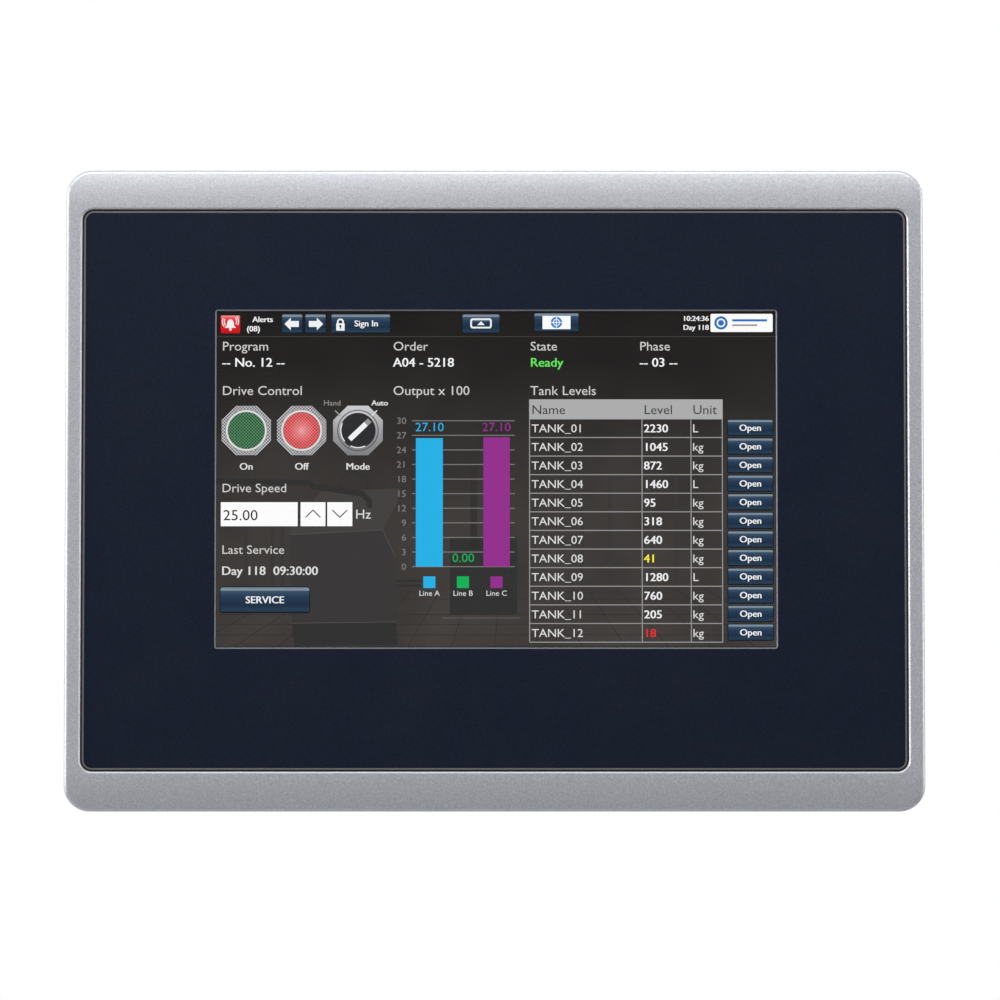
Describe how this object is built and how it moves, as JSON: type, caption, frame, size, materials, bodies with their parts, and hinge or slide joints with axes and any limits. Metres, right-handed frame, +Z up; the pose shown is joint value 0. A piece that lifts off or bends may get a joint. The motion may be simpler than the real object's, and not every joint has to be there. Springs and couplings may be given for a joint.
{
  "type": "panel-mount touch terminal",
  "caption": "Panel-mount industrial touch terminal: silver cast bezel, dark overlay round a colour touch display, ribbed rear housing with ports and screw clamps.",
  "frame": {"origin": "centre of the gasket's rear face, in the plane of the cabinet panel's front surface", "axes": "+X right seen from the front, +Y to the rear through the panel, +Z up"},
  "size_m": [0.234, 0.0685, 0.175],
  "materials": {
    "bezel_paint": "die casting, fine textured silver powder paint",
    "film": "fine matte dark navy polyester",
    "adhesive": "black adhesive",
    "film_edge": "cut film edge",
    "window_edge": "cut film edge",
    "touch_film": "clear anti-glare film",
    "touch_glass": "clear",
    "flex": "amber polyimide",
    "lcd_glass": "lit display",
    "steel_sheet": "bright steel sheet",
    "acrylic": "clear acrylic on white",
    "led_strip": "white strip",
    "gasket_rubber": "black foam rubber",
    "standoff_brass": "machined",
    "screw_zinc": "zinc plated",
    "board": "green solder mask",
    "chip_epoxy": "black epoxy",
    "sink_aluminium": "anodised",
    "capacitor_can": "drawn can",
    "socket_plastic": "moulded",
    "jack_plastic": "moulded",
    "led_lens": "clear tinted lens",
    "port_shell": "tin plated sheet",
    "contact_gold": "gold plated",
    "tongue_plastic": "moulded",
    "switch_plastic": "moulded",
    "button_plastic": "moulded red",
    "terminal_plastic": "moulded green",
    "housing_cast": "die casting, dark grey powder coat",
    "screw_black": "black oxide",
    "port_plate_tin": "tin plated sheet, satin",
    "cover_paint": "pressed sheet, dark grey powder coat",
    "door_plastic": "textured",
    "pin_steel": "ground",
    "holder_plastic": "moulded",
    "cell_steel": "nickel plated",
    "ground_brass": "machined",
    "label_foil": "satin foil label, blank",
    "clamp_steel": "zinc plated casting",
    "pad_plastic": "moulded",
    "clamp_screw_steel": "zinc plated"
  },
  "bodies": {
    "housing": {"front_bezel": "bezel_paint", "overlay_film": "film", "overlay_adhesive": "adhesive", "overlay_edge_bead": "film_edge", "window_edge_bead": "window_edge", "touch_membrane": "touch_film", "touch_glass": "touch_glass", "touch_tail": "flex", "lcd_cell": "lcd_glass", "lcd_frame": "steel_sheet", "light_guide": "acrylic", "led_bar": "led_strip", "lcd_bracket": "steel_sheet", "lcd_flex": "flex", "panel_gasket": "gasket_rubber", "board_standoffs": "standoff_brass", "internal_screws": "screw_zinc", "main_board": "board", "processor": "chip_epoxy", "heat_sink": "sink_aluminium", "board_chips": "chip_epoxy", "board_capacitors": "capacitor_can", "module_sockets": "socket_plastic", "ethernet_jack_1": "jack_plastic", "ethernet_jack_2": "jack_plastic", "serial_jack_1": "jack_plastic", "serial_jack_2": "jack_plastic", "jack_led_windows": "led_lens", "jack_shields": "port_shell", "jack_contacts": "contact_gold", "usb_host_jack": "port_shell", "usb_device_jack": "port_shell", "usb_tongues": "tongue_plastic", "card_socket": "port_shell", "reset_switch": "switch_plastic", "power_terminal": "terminal_plastic", "power_terminal_screws": "screw_zinc", "rear_housing": "housing_cast", "port_plate": "port_plate_tin", "housing_screws": "screw_black", "module_cover_1": "cover_paint", "module_cover_2": "cover_paint", "module_cover_3": "cover_paint", "module_cover_screws": "screw_zinc", "battery_hinge_pin": "pin_steel", "battery_holder": "holder_plastic", "coin_cell": "cell_steel", "ground_screw": "ground_brass", "rating_plate": "label_foil", "clamp_brackets": "clamp_steel"},
    "battery_door": {"battery_door": "door_plastic"},
    "reset_button": {"reset_button": "button_plastic"},
    "clamp_pad_1": {"clamp_pad_1": "pad_plastic"},
    "clamp_screw_1": {"clamp_screw_1": "clamp_screw_steel"},
    "clamp_pad_2": {"clamp_pad_2": "pad_plastic"},
    "clamp_screw_2": {"clamp_screw_2": "clamp_screw_steel"},
    "clamp_pad_3": {"clamp_pad_3": "pad_plastic"},
    "clamp_screw_3": {"clamp_screw_3": "clamp_screw_steel"},
    "clamp_pad_4": {"clamp_pad_4": "pad_plastic"},
    "clamp_screw_4": {"clamp_screw_4": "clamp_screw_steel"}
  },
  "joints": [
    {"name": "clamp_pad_1_slide", "type": "slide", "parent": "housing", "child": "clamp_pad_1", "axis": [0, -1, 0], "range_m": [0, 0.005]},
    {"name": "clamp_screw_1_turn", "type": "hinge", "parent": "clamp_pad_1", "child": "clamp_screw_1", "pos_m": [-0.084, 0.02, 0.0832], "axis": [0, -1, 0], "range_deg": [0, 2572]},
    {"name": "clamp_pad_2_slide", "type": "slide", "parent": "housing", "child": "clamp_pad_2", "axis": [0, -1, 0], "range_m": [0, 0.005]},
    {"name": "clamp_screw_2_turn", "type": "hinge", "parent": "clamp_pad_2", "child": "clamp_screw_2", "pos_m": [0.084, 0.02, 0.0832], "axis": [0, -1, 0], "range_deg": [0, 2572]},
    {"name": "clamp_pad_3_slide", "type": "slide", "parent": "housing", "child": "clamp_pad_3", "axis": [0, -1, 0], "range_m": [0, 0.005]},
    {"name": "clamp_screw_3_turn", "type": "hinge", "parent": "clamp_pad_3", "child": "clamp_screw_3", "pos_m": [-0.084, 0.02, -0.0832], "axis": [0, -1, 0], "range_deg": [0, 2572]},
    {"name": "clamp_pad_4_slide", "type": "slide", "parent": "housing", "child": "clamp_pad_4", "axis": [0, -1, 0], "range_m": [0, 0.005]},
    {"name": "clamp_screw_4_turn", "type": "hinge", "parent": "clamp_pad_4", "child": "clamp_screw_4", "pos_m": [0.084, 0.02, -0.0832], "axis": [0, -1, 0], "range_deg": [0, 2572]},
    {"name": "battery_door_hinge", "type": "hinge", "parent": "housing", "child": "battery_door", "pos_m": [0.077, 0.0588, 0.065], "axis": [1, 0, 0], "range_deg": [0, 100]},
    {"name": "reset_button_press", "type": "slide", "parent": "housing", "child": "reset_button", "axis": [0, 0, 1], "range_m": [0, 0.0008], "stiffness_N_per_m": 1500, "springref_m": -0.0003}
  ],
  "couplings": [
    {"joint": "clamp_screw_1_turn", "follows": "clamp_pad_1_slide", "rad_per_m": 8976},
    {"joint": "clamp_screw_2_turn", "follows": "clamp_pad_2_slide", "rad_per_m": 8976},
    {"joint": "clamp_screw_3_turn", "follows": "clamp_pad_3_slide", "rad_per_m": 8976},
    {"joint": "clamp_screw_4_turn", "follows": "clamp_pad_4_slide", "rad_per_m": 8976}
  ]
}
